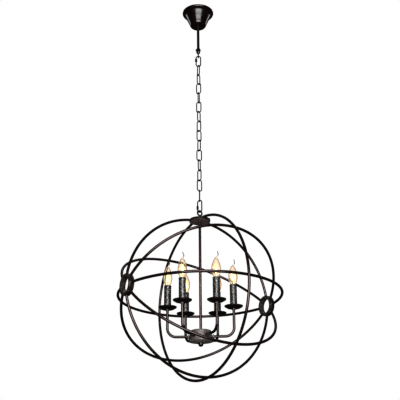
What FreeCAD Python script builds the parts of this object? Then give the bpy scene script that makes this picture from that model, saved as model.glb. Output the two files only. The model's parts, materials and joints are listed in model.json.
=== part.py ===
"""Orb chandelier, six candle lights in a globe of round tube hoops, on a chain.

Frame: millimetres, +Z up, origin on the ceiling at the middle of the canopy.
The globe's hoops run between two open side rings on a level axis, and one more
hoop stands upright round them all. Everything hangs from the canopy's stem.
"""
import math
import os

import FreeCAD
import Part
import Sketcher
from FreeCAD import Vector

# ---------------------------------------------------------------- dimensions

DIMENSIONS = {
    # canopy and the parts in it
    "canopy_rim_radius": 68.0,
    "canopy_lip": 4.0,
    "canopy_depth": 72.0,
    "canopy_foot_radius": 26.0,
    "canopy_wall": 1.2,
    "canopy_floor_lap": 0.4,
    "crossbar_length": 116.0,
    "crossbar_width": 20.0,
    "crossbar_thickness": 2.0,
    "crossbar_drop": 10.0,
    "crossbar_foot": 22.0,
    "slot_spacing": 92.0,
    "slot_width": 5.0,
    "slot_travel": 9.0,
    # stem
    "stem_radius": 5.5,
    "stem_bore_radius": 4.0,
    "stem_above_web": 5.5,
    "stem_shown": 114.0,
    "nut_height": 3.5,
    "stem_nut_flats": 14.0,
    "lock_ring_radius": 8.5,
    "lock_ring_height": 5.0,
    "grub_radius": 1.5,
    # stem end with its eye
    "coupling_radius": 8.5,
    "coupling_length": 23.0,
    "coupling_taper": 5.0,
    "coupling_socket": 12.0,
    "stem_eye_inner_radius": 6.5,
    "stem_eye_wire": 5.0,
    "stem_eye_root": 1.5,
    "cross_bolt_radius": 2.0,
    "cross_bolt_head_radius": 3.8,
    "cross_bolt_head_height": 3.0,
    "cross_bolt_tip": 3.5,
    # chain and quick links
    "link_inner_length": 45.0,
    "link_width": 23.0,
    "link_wire": 4.0,
    "quick_inner_length": 46.0,
    "quick_width": 24.0,
    "quick_wire": 4.4,
    "quick_gap": 5.0,
    "quick_gap_offset": 5.0,
    "quick_nut_length": 13.0,
    "quick_nut_flats": 8.0,
    "link_play": 0.12,
    # eye bolt and top hub
    "eye_inner_radius": 7.0,
    "eye_wire": 6.0,
    "eye_yaw": 32.0,
    "eye_shank_radius": 3.0,
    "eye_neck": 0.7,
    "eye_nut_height": 3.2,
    "eye_nut_flats": 10.0,
    "eye_thread_depth": 14.0,
    "top_hub_radius": 41.5,
    "top_hub_thickness": 10.0,
    "top_hub_edge": 1.5,
    "wire_hole_radius": 3.0,
    "wire_hole_offset": 22.0,
    "hub_screw_yaw": 150.6,
    "hub_screw_head_radius": 3.5,
    "hub_screw_head_height": 3.0,
    "hub_screw_radius": 2.0,
    "hub_screw_depth": 10.0,
    # hoops and side rings
    "hoop_tube_radius": 5.0,
    "hoop_bore_radius": 4.0,
    "upright_hoop_radius": 316.0,
    "hoop_arc_excess": 4.5,
    "hoop_plug": 13.0,
    "hub_axis_yaw": 32.7,
    "side_ring_radius": 41.0,
    "side_ring_bore_radius": 30.0,
    "side_ring_length": 20.0,
    "side_ring_edge": 2.0,
    "end_screw_radius": 2.0,
    "end_screw_reach": 7.0,
    "end_screw_head_radius": 3.6,
    "end_screw_head_height": 2.2,
    "end_screw_spot_depth": 0.5,
    # angle of each half hoop about the side rings' axis, from straight up
    "top_angle": -1.0,
    "upper_front_angle": 45.0,
    "middle_front_angle": 88.0,
    "lower_front_angle": 135.5,
    "bottom_angle": 178.5,
    "lower_back_angle": 226.5,
    "middle_back_angle": 268.0,
    "upper_back_angle": 311.0,
    # centre rod and lower hub, heights from the globe's centre
    "rod_radius": 5.0,
    "rod_bore_radius": 3.5,
    "rod_plug": 20.0,
    "rod_nut_flats": 15.0,
    "hub_cup_top": 133.0,
    "hub_cup_height": 41.5,
    "hub_cup_top_radius": 40.0,
    "hub_cup_foot_radius": 47.0,
    "hub_cup_wall": 1.5,
    "cover_dome": 4.5,
    "cover_lip": 4.0,
    "finial_radius": 9.5,
    "finial_length": 14.5,
    "rod_in_finial": 8.0,
    # candle arms
    "candle_circle": 125.8,
    "candle_yaw": -1.9,
    "arm_drop": 23.0,
    "arm_tube_radius": 5.0,
    "arm_bore_radius": 4.0,
    "arm_bend": 33.0,
    "arm_root": 35.0,
    "arm_nut_flats": 14.0,
    "lead_radius": 2.2,
    "block_flats": 40.0,
    "block_height": 14.0,
    # candles, heights from the globe's centre
    "pan_radius": 35.5,
    "pan_wall": 1.2,
    "pan_rise": 11.5,
    "pan_flat_radius": 15.0,
    "pan_bottom": 52.0,
    "sleeve_radius": 13.75,
    "sleeve_wall": 1.25,
    "sleeve_length": 92.5,
    "sleeve_bead": 0.7,
    "sleeve_bead_height": 2.5,
    "holder_length": 39.0,
    "holder_base": 12.0,
    "holder_grip": 8.0,
    "holder_inset": 1.5,
    "cap_radius": 7.0,
    "cap_length": 24.0,
    "cap_wall": 0.5,
    "contact_radius": 2.5,
    "contact_height": 2.0,
    "glass_radius": 17.5,
    "glass_neck_radius": 6.3,
    "glass_height": 96.0,
    "glass_wall": 0.8,
    "glass_in_cap": 6.0,
    "glass_neck_shown": 1.5,
    "tail_height": 16.0,
    "tail_radius": 1.9,
    "tail_tip_radius": 0.8,
    "tail_lean": 3.0,
    "filament_radius": 0.9,
    "filament_circle": 3.6,
    "filament_length": 38.0,
    "filament_foot": 40.0,
    "filament_plate_radius": 4.9,
    "filament_plate": 1.0,
    "filament_stalk_radius": 2.4,
    # clearances
    "seat_gap": 0.1,
    "thread_gap": 0.05,
    "hole_gap": 0.1,
    "slide_gap": 0.3,
}

CHAIN_YAWS = (0, -64, 55, -24, 73, -17, 55, -39, 30, -56, 8, 64, -46, 24, 88, -32)
HALF_HOOPS = ("upper_front", "middle_front", "lower_front", "bottom",
              "lower_back", "middle_back", "upper_back")
CANDLES = 6
FILAMENTS = 4

# canopy outline below its lip, as shares of the flare and of the side's height
SKIRT = ((0.06, 0.035), (0.22, 0.12), (0.36, 0.25), (0.53, 0.50), (0.72, 0.78), (0.82, 0.92))
# bulb outline above its neck, as shares of the widest radius and of the height
BULB = ((0.60, 0.13), (0.84, 0.23), (0.97, 0.34), (1.00, 0.42), (0.95, 0.53), (0.80, 0.65),
        (0.56, 0.77), (0.31, 0.88))
# bulb tail, as shares of its lean, of its height and of its root radius
TAIL = ((0.0, -0.12, 1.0), (0.4, 0.25, 0.9), (1.0, 0.60, 0.65), (0.5, 0.85, 0.70))

PAST = 1.0       # how far a cutting tool runs past a face
THROUGH = 60.0   # length of a tool that cuts right through a piece
HEX_CORNER = 1 / math.sqrt(3)   # a hexagon's corner radius, for each unit across its flats

X, Y, Z = Vector(1, 0, 0), Vector(0, 1, 0), Vector(0, 0, 1)

doc = FreeCAD.newDocument("orb_chandelier")
sheet = doc.addObject("Spreadsheet::Sheet", "sizes")
nodes = []


class Size:
    """A length or angle, with the sheet formula that gives it."""

    def __init__(self, text, value):
        self.text = text
        self.value = float(value)

    @staticmethod
    def of(other):
        return other if isinstance(other, Size) else Size(repr(float(other)), other)

    def __add__(self, other):
        other = Size.of(other)
        return Size(f"({self.text} + {other.text})", self.value + other.value)

    def __sub__(self, other):
        other = Size.of(other)
        return Size(f"({self.text} - {other.text})", self.value - other.value)

    def __mul__(self, other):
        other = Size.of(other)
        return Size(f"({self.text} * {other.text})", self.value * other.value)

    def __truediv__(self, other):
        other = Size.of(other)
        return Size(f"({self.text} / {other.text})", self.value / other.value)

    def __neg__(self):
        return Size(f"(0 - {self.text})", -self.value)

    __radd__ = __add__

    def __rsub__(self, other):
        return Size.of(other) - self

    def __rmul__(self, other):
        return self * other

    def root(self):
        """Return the square root, of a length times a length."""
        return Size(f"sqrt({self.text})", math.sqrt(self.value))


def fill_sheet():
    """Write each dimension to the sheet, under its own alias."""
    for row, (alias, value) in enumerate(DIMENSIONS.items(), start=1):
        sheet.set(f"A{row}", alias)
        sheet.set(f"B{row}", str(value))
        sheet.setAlias(f"B{row}", alias)
    doc.recompute()


def size(alias):
    """Return the sheet's value of one dimension."""
    return Size(f"sizes.{alias}", sheet.get(alias))


def bind(obj, **sizes):
    """Tie properties of an object to sheet formulas."""
    for name, value in sizes.items():
        obj.setExpression(name, Size.of(value).text)


def place(obj, x=0, y=0, z=0, axis=Z, turn=0):
    """Tie an object's position and its turn about one axis to the sheet."""
    obj.Placement = FreeCAD.Placement(Vector(0, 0, 0), FreeCAD.Rotation(axis, 1))
    for name, value in (("x", x), ("y", y), ("z", z)):
        obj.setExpression(f"Placement.Base.{name}", Size.of(value).text)
    obj.setExpression("Placement.Rotation.Angle", f"{Size.of(turn).text} * 1 deg")
    return obj


def cylinder(name, radius, height, **where):
    obj = doc.addObject("Part::Cylinder", name)
    bind(obj, Radius=radius, Height=height)
    return place(obj, **where)


def cone(name, foot_radius, top_radius, height, **where):
    obj = doc.addObject("Part::Cone", name)
    bind(obj, Radius1=foot_radius, Radius2=top_radius, Height=height)
    return place(obj, **where)


def box(name, length, width, height, x=0, y=0, z=0):
    """Make a box, centred on x and y, that stands on z."""
    obj = doc.addObject("Part::Box", name)
    bind(obj, Length=length, Width=width, Height=height)
    return place(obj, x=x - Size.of(length) / 2, y=y - Size.of(width) / 2, z=z)


def torus(name, radius, tube_radius, sweep=360, **where):
    obj = doc.addObject("Part::Torus", name)
    bind(obj, Radius1=radius, Radius2=tube_radius, Angle3=sweep)
    return place(obj, **where)


def hex_prism(name, flats, height, **where):
    obj = doc.addObject("Part::Prism", name)
    obj.Polygon = 6
    bind(obj, Circumradius=flats * HEX_CORNER, Height=height)
    return place(obj, **where)


def cut(name, base, *tools):
    obj = doc.addObject("Part::Cut", name)
    obj.Base = base
    obj.Tool = tools[0] if len(tools) == 1 else fuse(name + "_tools", *tools)
    return obj


def fuse(name, *shapes):
    obj = doc.addObject("Part::MultiFuse", name)
    obj.Shapes = list(shapes)
    return obj


def common(name, first, second):
    obj = doc.addObject("Part::Common", name)
    obj.Base, obj.Tool = first, second
    return obj


def moved(name, *parts, **where):
    """Make a copy of some pieces in another place."""
    obj = doc.addObject("Part::Compound", name)
    obj.Links = list(parts)
    return place(obj, **where)


def nut(name, flats, height, bore, **where):
    """Make a hexagon nut that stands on its place's plane."""
    blank = hex_prism(name + "_blank", flats, height)
    hole = cylinder(name + "_hole", bore, height + PAST * 2, z=-PAST)
    return moved(name, cut(name + "_body", blank, hole), **where)


def node(obj, label):
    """Mark an object as a finished piece under its own name."""
    obj.Label = label
    nodes.append(obj)
    return obj


def polygon_sketch(body, name, role, corners):
    """Draw a closed outline in one of a body's planes, tied to the sheet."""
    plane = next(f for f in body.Origin.OriginFeatures if f.Role == role)
    sketch = body.newObject("Sketcher::SketchObject", name)
    sketch.AttachmentSupport = (plane, "")
    sketch.MapMode = "FlatFace"
    points = [Vector(Size.of(u).value, Size.of(v).value, 0) for u, v in corners]
    count = len(points)
    for i in range(count):
        sketch.addGeometry(Part.LineSegment(points[i], points[(i + 1) % count]), False)
    for i in range(count):
        sketch.addConstraint(Sketcher.Constraint("Coincident", i, 2, (i + 1) % count, 1))
    for i, (u, v) in enumerate(corners):
        for kind, value in (("DistanceX", u), ("DistanceY", v)):
            value = Size.of(value)
            at = sketch.addConstraint(Sketcher.Constraint(kind, -1, 1, i, 1, value.value))
            if "sizes." in value.text:
                sketch.setExpression(f"Constraints[{at}]", value.text)
    return sketch


def turned_body(name, corners):
    """Turn a closed outline of (radius, height) corners about Z."""
    body = doc.addObject("PartDesign::Body", name)
    sketch = polygon_sketch(body, name + "_outline", "XZ_Plane", corners)
    turn = body.newObject("PartDesign::Revolution", name + "_turn")
    turn.Profile = sketch
    turn.ReferenceAxis = (sketch, ["V_Axis"])
    turn.Angle = 360
    return body


def rounded_ring(name, bore, radius, bottom, top, edge):
    """Turn a ring, or a disc with a hole, with its outer edges eased."""
    return turned_body(name, [
        (bore, bottom), (radius - edge, bottom), (radius - edge * 0.3, bottom + edge * 0.3),
        (radius, bottom + edge), (radius, top - edge), (radius - edge * 0.3, top - edge * 0.3),
        (radius - edge, top), (bore, top)])


def turned_shell(points, wall):
    """Turn a smooth curve of (radius, height) points, top first, into a shell."""
    outer = [Vector(r, 0, z) for r, z in points]
    curve = Part.BSplineCurve()
    curve.interpolate(outer)
    inner = []
    for point in outer:
        u = curve.parameter(point)
        along = curve.tangent(u)[0]
        inner.append(point + Vector(along.z, 0, -along.x) * wall)
    inner_curve = Part.BSplineCurve()
    inner_curve.interpolate(inner)
    edges = [curve.toShape(), Part.LineSegment(outer[0], inner[0]).toShape(),
             inner_curve.toShape(), Part.LineSegment(inner[-1], outer[-1]).toShape()]
    face = Part.Face(Part.Wire(Part.__sortEdges__(edges)))
    return face.revolve(Vector(0, 0, 0), Z, 360)


def computed(name, shape):
    """Add a shape worked out from the sheet's values to the document."""
    obj = doc.addObject("Part::Feature", name)
    obj.Shape = shape
    return obj


# ------------------------------------------------------------------- heights

fill_sheet()

web_top = -size("crossbar_drop")
web_bottom = web_top - size("crossbar_thickness")
coupling_top = -(size("canopy_depth") + size("stem_shown"))
coupling_bottom = coupling_top - size("coupling_length")
stem_eye_centre = (coupling_bottom + size("stem_eye_root")
                   - size("stem_eye_inner_radius") - size("stem_eye_wire"))


def chain_links():
    """List each link's name, yaw, wire, inner length, width and middle height."""
    rows = []
    hook = stem_eye_centre - size("stem_eye_inner_radius") - size("stem_eye_wire") / 2
    hook_wire = size("stem_eye_wire")
    for number, yaw in enumerate(CHAIN_YAWS, start=1):
        quick = number in (1, len(CHAIN_YAWS))
        kind = "quick" if quick else "link"
        wire, inner = size(f"{kind}_wire"), size(f"{kind}_inner_length")
        top = hook + hook_wire / 2 + wire / 2 + size("link_play")
        bottom = top - wire - inner
        rows.append((number, yaw, kind, (top + bottom) / 2))
        hook, hook_wire = bottom, wire
    return rows, hook, hook_wire


LINKS, last_hook, last_wire = chain_links()
eye_reach = size("eye_inner_radius") + size("eye_wire")
eye_top = last_hook + last_wire / 2 + size("eye_wire") / 2 + size("link_play")
eye_centre = eye_top - size("eye_inner_radius") - size("eye_wire") / 2
eye_nut_top = eye_centre - eye_reach - size("eye_neck")
hoop_outer = size("upright_hoop_radius") + size("hoop_tube_radius")
globe = eye_nut_top - size("eye_nut_height") - size("seat_gap") - hoop_outer
top_hub_top = globe + size("upright_hoop_radius") - size("hoop_tube_radius") - size("seat_gap")
top_hub_bottom = top_hub_top - size("top_hub_thickness")
cup_top = globe - size("hub_cup_top")
cup_foot = cup_top - size("hub_cup_height")
cover_bottom = cup_foot - size("seat_gap") - size("cover_dome")
arm_level = cup_top - size("arm_drop")
pan_floor = globe - size("pan_bottom")
sleeve_foot = pan_floor + size("pan_wall") + size("seat_gap")
sleeve_top = sleeve_foot + size("sleeve_length")
holder_top = sleeve_top - size("holder_inset")
holder_foot = holder_top - size("holder_length")


# -------------------------------------------------------------------- canopy

def make_crossbar():
    """Bent steel strap: two slotted feet on the ceiling and a lowered web."""
    half, foot = size("crossbar_length") / 2, size("crossbar_foot")
    drop, thick = size("crossbar_drop"), size("crossbar_thickness")
    shoulder = half - foot
    web = shoulder - drop
    skew = thick * 0.4
    body = doc.addObject("PartDesign::Body", "crossbar")
    upper = [(-half, 0), (-shoulder, 0), (-web, -drop), (web, -drop), (shoulder, 0), (half, 0)]
    lower = [(half, -thick), (shoulder + skew, -thick), (web + skew, -drop - thick),
             (-web - skew, -drop - thick), (-shoulder - skew, -thick), (-half, -thick)]
    pad = body.newObject("PartDesign::Pad", "crossbar_pad")
    pad.Profile = polygon_sketch(body, "crossbar_outline", "XZ_Plane", upper + lower)
    pad.Midplane = True
    bind(pad, Length=size("crossbar_width"))
    stem_hole = cylinder("crossbar_stem_hole", size("stem_radius") + size("hole_gap"), THROUGH,
                         z=web_top - THROUGH / 2)
    slots = []
    for side in (-1, 1):
        middle = size("slot_spacing") * (side / 2)
        ends = [cylinder(f"slot_end_{side + 1}_{end + 1}", size("slot_width") / 2, THROUGH,
                         x=middle + size("slot_travel") * (end / 2), z=-THROUGH / 2)
                for end in (-1, 1)]
        slots += ends + [box(f"slot_middle_{side + 1}", size("slot_travel"), size("slot_width"),
                             THROUGH, x=middle, z=-THROUGH / 2)]
    node(cut("crossbar_drilled", body, stem_hole, *slots), "ceiling_crossbar")


def make_stem():
    """Hollow stem, held in the crossbar's web by a nut above and one below."""
    top = web_top + size("stem_above_web")
    bottom = coupling_top - size("coupling_socket") + size("seat_gap")
    length = top - bottom
    bore = cylinder("stem_bore", size("stem_bore_radius"), length + PAST * 2, z=bottom - PAST)
    bolt_hole = cylinder("stem_bolt_hole", size("cross_bolt_radius") + size("hole_gap"), THROUGH,
                         x=-THROUGH / 2, z=coupling_top - size("coupling_socket") / 2, axis=Y, turn=90)
    node(cut("stem_drilled", cylinder("stem_blank", size("stem_radius"), length, z=bottom),
             bore, bolt_hole), "stem_tube")
    thread = size("stem_radius") + size("thread_gap")
    pair = [nut("stem_nut_upper", size("stem_nut_flats"), size("nut_height"), thread, z=web_top),
            nut("stem_nut_lower", size("stem_nut_flats"), size("nut_height"), thread,
                z=web_bottom - size("nut_height"))]
    node(moved("stem_nuts", *pair), "stem_lock_nuts")


def make_canopy():
    """Flared ceiling cup, with the lock ring that holds it up on the stem."""
    rim, lip = size("canopy_rim_radius").value, size("canopy_lip").value
    depth, foot = size("canopy_depth").value, size("canopy_foot_radius").value
    side, flare = depth - lip, rim - foot
    skirt = [(rim, 0), (rim, -lip / 2)]
    skirt += [(rim - flare * inward, -lip - side * down) for inward, down in SKIRT]
    skirt.append((foot, -depth))
    cup = computed("canopy_skirt", turned_shell(skirt, size("canopy_wall").value))
    floor = cylinder("canopy_floor", size("canopy_foot_radius") + size("canopy_floor_lap"),
                     size("canopy_wall"), z=-size("canopy_depth"))
    hole = cylinder("canopy_hole", size("stem_radius") + size("slide_gap"), THROUGH / 2,
                    z=-size("canopy_depth") - THROUGH / 4)
    node(cut("canopy_drilled", fuse("canopy_whole", cup, floor), hole), "canopy_cup")

    ring_top = -(size("canopy_depth") + size("seat_gap"))
    height, radius = size("lock_ring_height"), size("lock_ring_radius")
    middle = ring_top - height / 2
    thread = size("stem_radius") + size("thread_gap")
    blank = cylinder("lock_ring_blank", radius, height, z=ring_top - height)
    bore = cylinder("lock_ring_bore", thread, height + PAST * 2, z=ring_top - height - PAST)
    drilling = cylinder("lock_ring_drilling", size("grub_radius") + size("thread_gap"),
                        radius, z=middle, axis=X, turn=-90)
    node(cut("lock_ring", blank, bore, drilling), "canopy_lock_ring")
    grub = cylinder("grub", size("grub_radius"), radius - thread,
                    y=thread, z=middle, axis=X, turn=-90)
    node(grub, "lock_ring_screw")


def make_stem_end():
    """Stem end fitting: socket, tapered foot and an eye, with its cross bolt."""
    radius, taper = size("coupling_radius"), size("coupling_taper")
    barrel = cylinder("coupling_barrel", radius, size("coupling_length") - taper,
                      z=coupling_bottom + taper)
    foot = cone("coupling_foot", size("stem_radius"), radius, taper, z=coupling_bottom)
    ring = torus("stem_eye_ring", size("stem_eye_inner_radius") + size("stem_eye_wire") / 2,
                 size("stem_eye_wire") / 2, z=stem_eye_centre, axis=Y, turn=90)
    socket = cylinder("coupling_bore", size("stem_radius") + size("thread_gap"),
                      size("coupling_socket") + PAST, z=coupling_top - size("coupling_socket"))
    level = coupling_top - size("coupling_socket") / 2
    drilling = cylinder("coupling_bolt_hole", size("cross_bolt_radius") + size("hole_gap"), THROUGH,
                        x=-THROUGH / 2, z=level, axis=Y, turn=90)
    whole = fuse("coupling_whole", barrel, foot, ring)
    node(cut("coupling", whole, socket, drilling), "stem_end_eye")

    seat = -(radius + size("seat_gap"))
    head = cylinder("cross_bolt_head", size("cross_bolt_head_radius"),
                    size("cross_bolt_head_height"), x=seat - size("cross_bolt_head_height"),
                    z=level, axis=Y, turn=90)
    shank = cylinder("cross_bolt_shank", size("cross_bolt_radius"),
                     radius * 2 + size("cross_bolt_tip"), x=seat, z=level, axis=Y, turn=90)
    node(fuse("cross_bolt", head, shank), "stem_cross_bolt")


# --------------------------------------------------------------------- chain

def make_oval(name, wire, inner_length, width):
    """Bend a wire into an upright oval about the origin, in the XZ plane."""
    end = (width - wire) / 2
    straight = inner_length + wire - end * 2
    top = torus(name + "_top", end, wire / 2, 180, z=straight / 2, axis=X, turn=90)
    bottom = torus(name + "_bottom", end, wire / 2, 180, z=-straight / 2, axis=X, turn=-90)
    legs = [cylinder(f"{name}_leg_{side}", wire / 2, straight, x=end * sign, z=-straight / 2)
            for side, sign in (("left", -1), ("right", 1))]
    return fuse(name, top, bottom, *legs)


def make_chain():
    """Fourteen plain links between two quick links with screwed sleeve nuts."""
    plain = make_oval("link_oval", size("link_wire"), size("link_inner_length"),
                      size("link_width"))
    quick = make_oval("quick_oval", size("quick_wire"), size("quick_inner_length"),
                      size("quick_width"))
    leg = (size("quick_width") - size("quick_wire")) / -2
    nut_bore = size("quick_wire") / 2 + size("thread_gap")
    for number, yaw, kind, middle in LINKS:
        if kind == "link":
            node(moved(f"link_{number}", plain, z=middle, turn=yaw), f"chain_link_{number:02d}")
            continue
        end, side = ("top", 1) if number == 1 else ("bottom", -1)
        rise = size("quick_gap_offset") * side
        gap = box(f"{end}_gap", size("quick_wire") * 2, size("quick_wire") * 2,
                  size("quick_gap"), x=leg, z=rise - size("quick_gap") / 2)
        opened = cut(f"{end}_quick_open", quick, gap)
        node(moved(f"{end}_quick", opened, z=middle, turn=yaw), f"{end}_quick_link")
        sleeve = nut(f"{end}_sleeve_nut", size("quick_nut_flats"), size("quick_nut_length"),
                     nut_bore, x=leg, z=rise - size("quick_nut_length") / 2)
        node(moved(f"{end}_quick_sleeve", sleeve, z=middle, turn=yaw), f"{end}_quick_link_nut")


# --------------------------------------------------------------------- globe

def make_eye_bolt():
    """Eye bolt that carries the globe, with its nut on the upright hoop."""
    ring = torus("eye_ring", size("eye_inner_radius") + size("eye_wire") / 2,
                 size("eye_wire") / 2, axis=X, turn=90)
    shank_top = eye_reach - size("eye_wire") / 3
    shank_end = eye_centre - top_hub_bottom + size("eye_thread_depth")
    shank = cylinder("eye_shank", size("eye_shank_radius"), shank_end - shank_top, z=-shank_end)
    whole = fuse("eye_whole", ring, shank)
    node(moved("eye_bolt", whole, z=eye_centre, turn=size("eye_yaw")), "hanging_eye_bolt")
    height = size("eye_nut_height")
    node(nut("eye_nut", size("eye_nut_flats"), height,
             size("eye_shank_radius") + size("thread_gap"), z=eye_nut_top - height),
         "hanging_eye_nut")


def make_top_hub():
    """Thick disc that the top hoop ends on, with two small side screws."""
    radius, thick = size("top_hub_radius"), size("top_hub_thickness")
    level = top_hub_bottom + thick / 2
    disc = rounded_ring("top_hub", size("eye_shank_radius") + size("hole_gap"), radius,
                        top_hub_bottom, top_hub_top, size("top_hub_edge"))
    wire_hole = cylinder("top_hub_wire_hole", size("wire_hole_radius"), thick * 3,
                         y=size("wire_hole_offset"), z=top_hub_bottom - thick)
    tapped, screws = [], []
    for name, turn in (("left", size("hub_screw_yaw")), ("right", size("hub_screw_yaw") + 180)):
        hole = cylinder(f"top_hub_tapping_{name}", size("hub_screw_radius") + size("thread_gap"),
                        THROUGH / 2, x=radius - size("hub_screw_depth") - PAST, axis=Y,
                        turn=90)
        tapped.append(moved(f"top_hub_tapped_{name}", hole, z=level, turn=turn))
        seat = radius + size("seat_gap")
        head = cylinder(f"hub_screw_head_{name}", size("hub_screw_head_radius"),
                        size("hub_screw_head_height"), x=seat, axis=Y, turn=90)
        shank = cylinder(f"hub_screw_shank_{name}", size("hub_screw_radius"),
                         size("hub_screw_depth"), x=seat - size("hub_screw_depth"),
                         axis=Y, turn=90)
        screw = fuse(f"hub_screw_{name}", head, shank)
        screws.append(moved(f"hub_screw_set_{name}", screw, z=level, turn=turn))
    node(cut("top_hub_drilled", disc, wire_hole, *tapped), "top_hub_disc")
    node(moved("top_hub_screws_pair", *screws), "top_hub_screws")


hoop_arc_radius = size("upright_hoop_radius") + size("hoop_arc_excess")
hoop_rise = -(size("hoop_tube_radius") * 2 + size("seat_gap") + size("hoop_arc_excess"))


def hoop_end_reach():
    """Return how far out along the axis a half hoop meets its side ring."""
    off_axis = size("side_ring_radius") - hoop_rise
    return (hoop_arc_radius * hoop_arc_radius - off_axis * off_axis).root()


end_reach = hoop_end_reach()


def make_half_hoop():
    """Bend one half hoop in the XZ plane, its tapped ends against the side rings."""
    tube = torus("hoop_tube", hoop_arc_radius, size("hoop_tube_radius"), 180, z=hoop_rise,
                 axis=X, turn=90)
    bore = torus("hoop_bore", hoop_arc_radius, size("hoop_bore_radius"), 180, z=hoop_rise,
                 axis=X, turn=90)
    ring_radius = size("side_ring_radius") + size("seat_gap")
    plug_radius = ring_radius + size("hoop_plug")
    trims, plugs, tappings = [], [], []
    for name, sign in (("left", -1), ("right", 1)):
        start = end_reach * sign - THROUGH / 2
        trims.append(cylinder(f"hoop_trim_{name}", ring_radius, THROUGH, x=start, axis=Y,
                              turn=90))
        plugs.append(cylinder(f"hoop_plug_{name}", plug_radius, THROUGH, x=start, axis=Y,
                              turn=90))
        tappings.append(cylinder(f"hoop_tapping_{name}",
                                 size("end_screw_radius") + size("thread_gap"),
                                 size("hoop_plug") + size("end_screw_reach"),
                                 x=end_reach * sign, z=size("side_ring_radius") - PAST))
    hollow = cut("hoop_hollow", bore, *plugs)
    return cut("half_hoop", tube, hollow, *trims, *tappings)


def in_globe(name, *parts):
    """Turn pieces made about the side rings' axis into their place."""
    return moved(name, *parts, z=globe, turn=size("hub_axis_yaw"))


def make_hoops():
    """Eight half hoops between the side rings and one upright round hoop."""
    half = make_half_hoop()
    for where in HALF_HOOPS:
        tilted = moved(f"tilted_{where}", half, axis=X, turn=size(f"{where}_angle"))
        node(in_globe(f"placed_{where}", tilted), f"hoop_{where}")

    tilted = moved("tilted_top", half, axis=X, turn=size("top_angle"))
    gap = cylinder("top_hoop_gap", size("top_hub_radius") + size("seat_gap"), THROUGH,
                   z=size("upright_hoop_radius") - THROUGH / 2)
    split = cut("top_hoop_split", tilted, gap)
    span = hoop_arc_radius * 2
    for name, sign in (("left", -1), ("right", 1)):
        side = box(f"top_side_{name}", span, span, span, x=hoop_arc_radius * sign)
        quarter = common(f"top_quarter_{name}", split, side)
        node(in_globe(f"placed_top_{name}", quarter), f"hoop_top_{name}")

    ring = torus("upright_tube", size("upright_hoop_radius"), size("hoop_tube_radius"),
                 axis=Y, turn=90)
    bore = torus("upright_bore", size("upright_hoop_radius"), size("hoop_bore_radius"),
                 axis=Y, turn=90)
    shank_hole = cylinder("upright_hole", size("eye_shank_radius") + size("hole_gap"),
                          THROUGH, z=size("upright_hoop_radius") - THROUGH / 2)
    node(in_globe("placed_upright", cut("upright_hollow", ring, bore, shank_hole)),
         "hoop_upright_circle")


def make_side_rings():
    """Open ring at each end of the hoops, with a screw from inside per hoop."""
    length, bore = size("side_ring_length"), size("side_ring_bore_radius")
    blank = rounded_ring("side_ring_blank", bore, size("side_ring_radius"),
                         length * -0.5, length * 0.5, size("side_ring_edge"))
    head_top = bore - size("seat_gap")
    reach = size("side_ring_radius") + size("end_screw_reach")
    head = cylinder("end_screw_head", size("end_screw_head_radius"),
                    size("end_screw_head_height") + size("seat_gap"),
                    z=head_top - size("end_screw_head_height"))
    flat = cylinder("end_screw_spot", size("end_screw_head_radius") + size("hole_gap"),
                    THROUGH / 4, z=bore + size("end_screw_spot_depth") - THROUGH / 4)
    shank = cylinder("end_screw_shank", size("end_screw_radius"), reach - head_top, z=head_top)
    screw = fuse("end_screw", head, shank)
    hole = cylinder("side_ring_hole", size("end_screw_radius") + size("hole_gap"), THROUGH)
    drilling = fuse("side_ring_drilling", hole, flat)
    angles = ("top",) + HALF_HOOPS
    screws = []
    for name, sign in (("left", -1), ("right", 1)):
        laid = moved(f"side_ring_laid_{name}", blank, x=end_reach * sign, axis=Y, turn=90)
        holes = []
        for where in angles:
            turn = size(f"{where}_angle")
            shifted = moved(f"drilling_{where}_{name}", drilling, x=end_reach * sign)
            holes.append(moved(f"hole_{where}_{name}", shifted, axis=X, turn=turn))
            one = moved(f"screw_{where}_{name}", screw, x=end_reach * sign)
            screws.append(moved(f"screw_set_{where}_{name}", one, axis=X, turn=turn))
        node(in_globe(f"placed_ring_{name}", cut(f"side_ring_cut_{name}", laid, *holes)),
             f"side_ring_{name}")
    node(in_globe("placed_end_screws", *screws), "hoop_end_screws")


# ----------------------------------------------------------------- lower hub

def make_rod():
    """Centre rod: tapped plug at the top, open below, nuts on the hub cup."""
    top = top_hub_bottom - size("seat_gap")
    bottom = cover_bottom - size("rod_in_finial")
    blank = cylinder("rod_blank", size("rod_radius"), top - bottom, z=bottom)
    bore = cylinder("rod_bore", size("rod_bore_radius"),
                    top - bottom - size("rod_plug") + PAST, z=bottom - PAST)
    tapping = cylinder("rod_tapping", size("eye_shank_radius") + size("thread_gap"),
                       size("eye_thread_depth") + PAST * 2,
                       z=top - size("eye_thread_depth") - PAST)
    wire_hole = cylinder("rod_wire_hole", size("wire_hole_radius"), THROUGH,
                         z=top - size("rod_plug") - size("wire_hole_radius") * 3,
                         axis=X, turn=-90)
    node(cut("rod", blank, bore, tapping, wire_hole), "centre_rod")
    thread = size("rod_radius") + size("thread_gap")
    height = size("nut_height")
    pair = [nut("rod_nut_upper", size("rod_nut_flats"), height, thread, z=cup_top),
            nut("rod_nut_lower", size("rod_nut_flats"), height, thread,
                z=cup_top - size("hub_cup_wall") - height)]
    node(moved("rod_nuts", *pair), "centre_rod_nuts")


def arm_places():
    """Return the yaw of each candle arm."""
    return [size("candle_yaw") + 360 / CANDLES * i for i in range(CANDLES)]


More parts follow.
